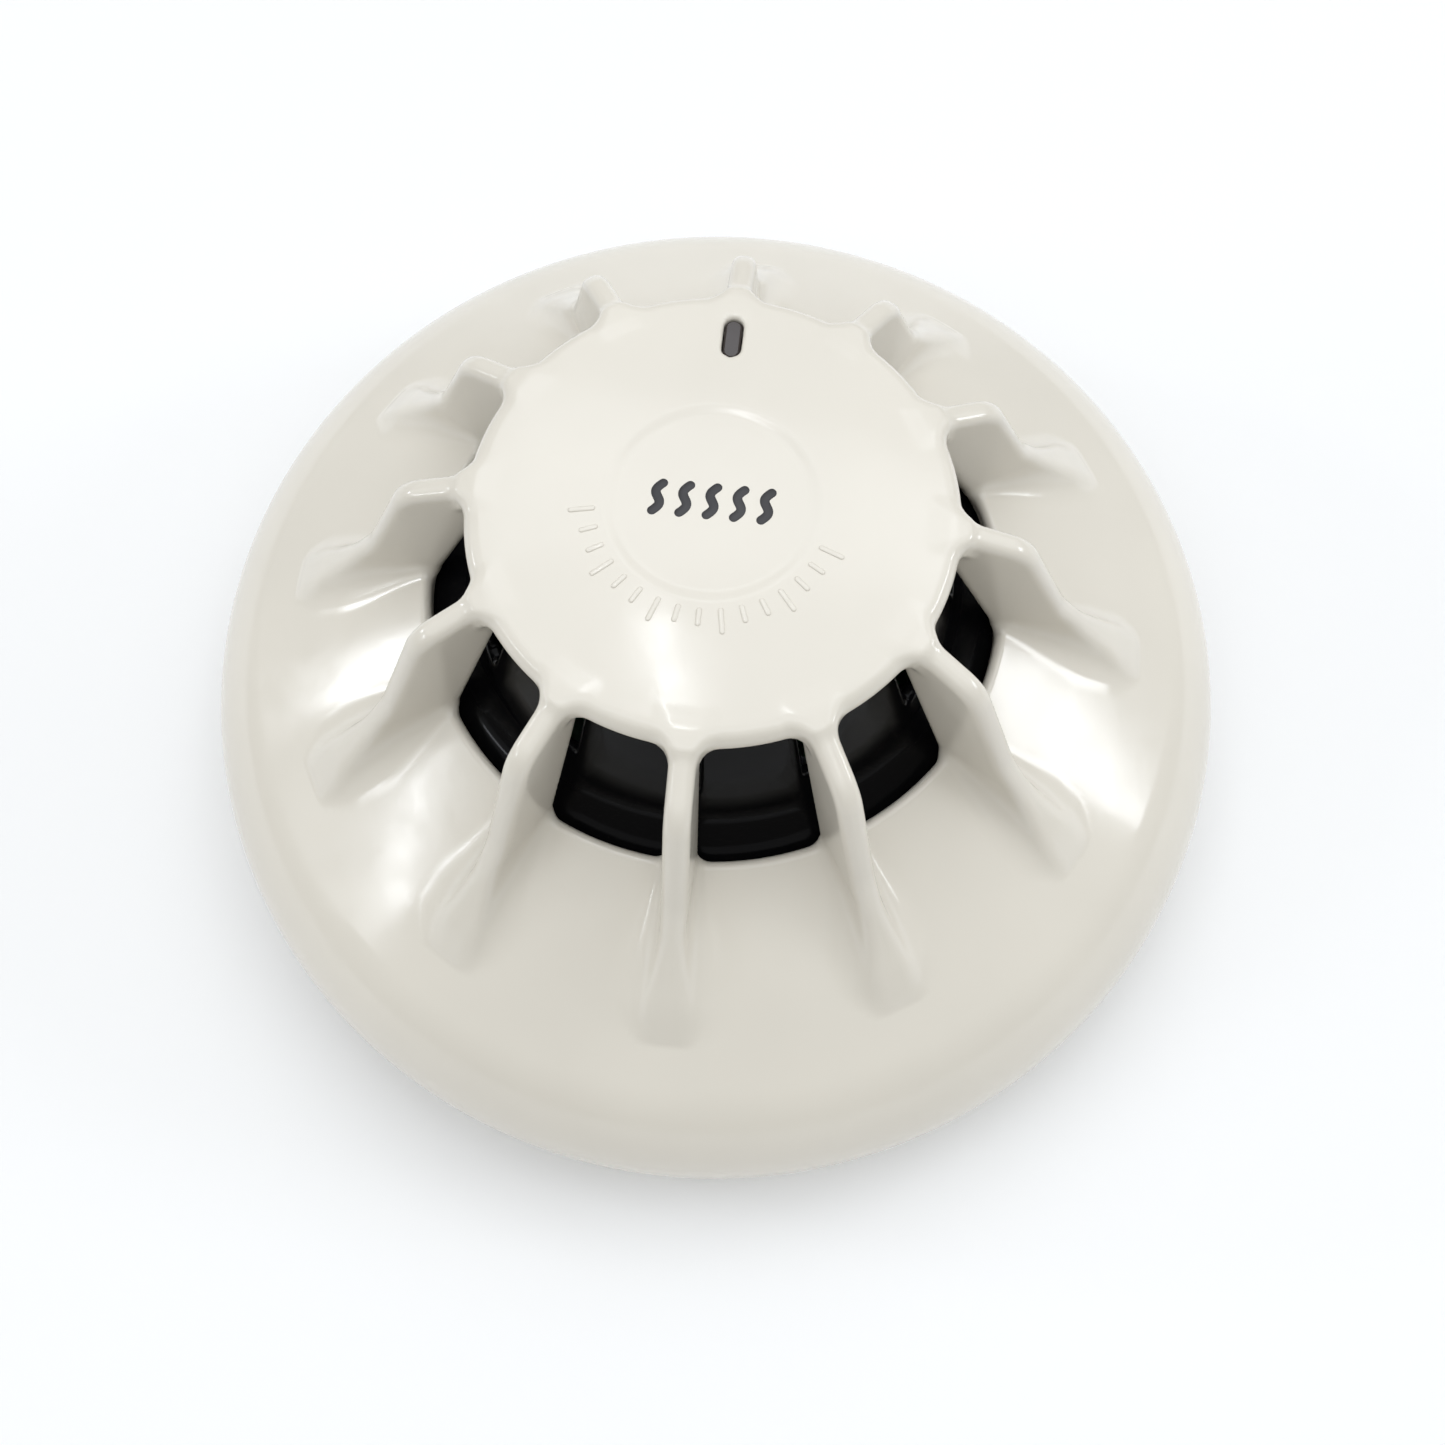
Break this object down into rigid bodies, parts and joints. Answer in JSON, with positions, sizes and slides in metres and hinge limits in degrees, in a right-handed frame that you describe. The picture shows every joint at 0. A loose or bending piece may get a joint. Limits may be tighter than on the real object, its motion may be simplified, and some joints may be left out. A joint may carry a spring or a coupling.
{
  "type": "heat detector",
  "caption": "Round ceiling heat detector: a glossy ribbed head with air windows over a dark sensor shroud, twist-locked to a shallow screw-on base.",
  "frame": {"origin": "middle of the base's mounting face, where it meets the ceiling", "axes": "+Z out of the mounting face towards the room, along the axis of the head; +Y towards the indicator; +X completes the right-handed frame"},
  "size_m": [0.109, 0.109, 0.0508],
  "materials": {
    "cover_plastic": "glossy off-white moulded plastic",
    "shroud_plastic": "glossy black moulded plastic",
    "smoked_lens": "smoked clear plastic light pipe",
    "body_plastic": "satin off-white moulded plastic",
    "base_plastic": "satin off-white moulded plastic",
    "foam_seal": "closed-cell foam",
    "board_laminate": "green solder mask over glass laminate",
    "led_resin": "clear red resin on a white reflector",
    "chip_resin": "black moulding compound, tinned leads",
    "can_aluminium": "drawn aluminium can",
    "plated_wire": "tinned wire",
    "glass_bead": "glass-coated sensing bead",
    "zinc_steel": "bright zinc-plated steel",
    "contact_brass": "turned brass",
    "nickel_plate": "nickel-plated spring bronze",
    "resistor_ceramic": "glazed film on ceramic, tinned ends",
    "capacitor_ceramic": "bare ceramic, tinned ends"
  },
  "bodies": {
    "base": {"base_contact_1": "nickel_plate", "base_contact_2": "nickel_plate", "base_contact_3": "nickel_plate", "base_contact_4": "nickel_plate", "base_plate": "base_plastic", "clamp_plate_1": "zinc_steel", "clamp_plate_2": "zinc_steel", "clamp_plate_3": "zinc_steel", "clamp_plate_4": "zinc_steel", "terminal_screws": "zinc_steel"},
    "head": {"board_screws": "zinc_steel", "body_screws": "zinc_steel", "ceramic_capacitor_1": "capacitor_ceramic", "ceramic_capacitor_2": "capacitor_ceramic", "ceramic_capacitor_3": "capacitor_ceramic", "chip_resistor_1": "resistor_ceramic", "chip_resistor_2": "resistor_ceramic", "chip_resistor_3": "resistor_ceramic", "chip_resistor_4": "resistor_ceramic", "circuit_board": "board_laminate", "contact_pins": "contact_brass", "control_chip": "chip_resin", "head_body": "body_plastic", "head_contact_1": "nickel_plate", "head_contact_2": "nickel_plate", "head_contact_3": "nickel_plate", "head_contact_4": "nickel_plate", "indicator_led": "led_resin", "light_pipe": "smoked_lens", "line_driver_chip": "chip_resin", "outer_cover": "cover_plastic", "sensor_shroud": "shroud_plastic", "shroud_seal": "foam_seal", "storage_capacitor": "can_aluminium", "surge_diode_1": "chip_resin", "surge_diode_2": "chip_resin", "thermistor_bead": "glass_bead", "thermistor_leads": "plated_wire", "thermistor_stalk": "shroud_plastic"}
  },
  "joints": [
    {"name": "head_twist", "type": "hinge", "parent": "base", "child": "head", "pos_m": [0, 0, 0.0052], "axis": [0, 0, 1], "range_deg": [0, 20]}
  ]
}
